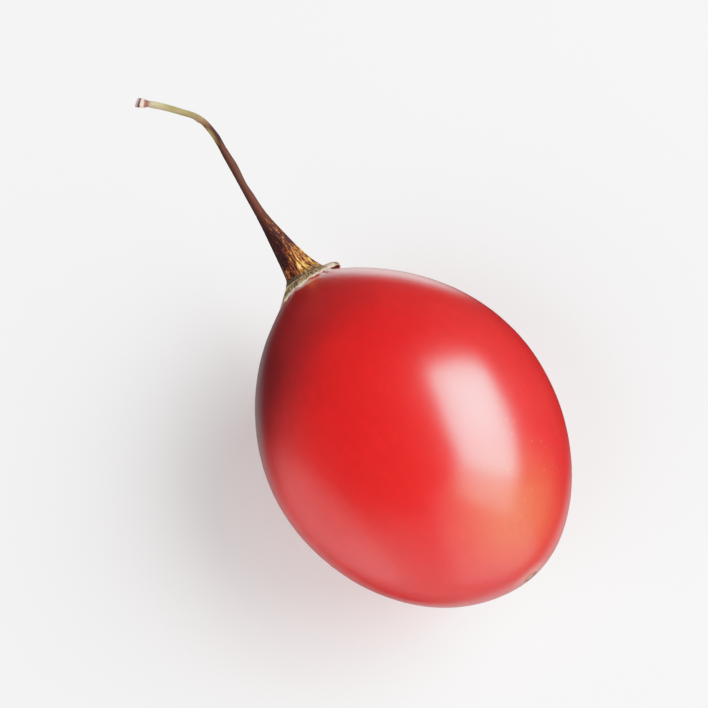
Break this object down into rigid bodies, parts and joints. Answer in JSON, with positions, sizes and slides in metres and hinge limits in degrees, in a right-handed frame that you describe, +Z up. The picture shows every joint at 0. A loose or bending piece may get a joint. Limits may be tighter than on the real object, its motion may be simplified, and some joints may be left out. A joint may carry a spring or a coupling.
{
  "type": "tamarillo",
  "caption": "Egg-shaped glossy red fruit lying on its side, with a dried lobed calyx and a thin bent stem at one end.",
  "frame": {"origin": "centre of the small flat spot that the fruit rests on", "axes": "+X along the fruit's long axis towards its blossom end, the stem at -X, +Z up away from the surface it lies on"},
  "size_m": [0.1049, 0.0488, 0.0484],
  "materials": {
    "ripe_skin": "smooth waxy fruit skin, glossy, bright red with a darker shoulder and an orange blush",
    "dry_calyx": "papery dried calyx, matte olive tan with dark veins and pale edges",
    "dry_stem": "fibrous dry stem, golden and dark brown at the foot, red-brown above, olive cream at the end"
  },
  "bodies": {
    "root": {"fruit": "ripe_skin", "calyx": "dry_calyx", "stem": "dry_stem"}
  },
  "joints": []
}
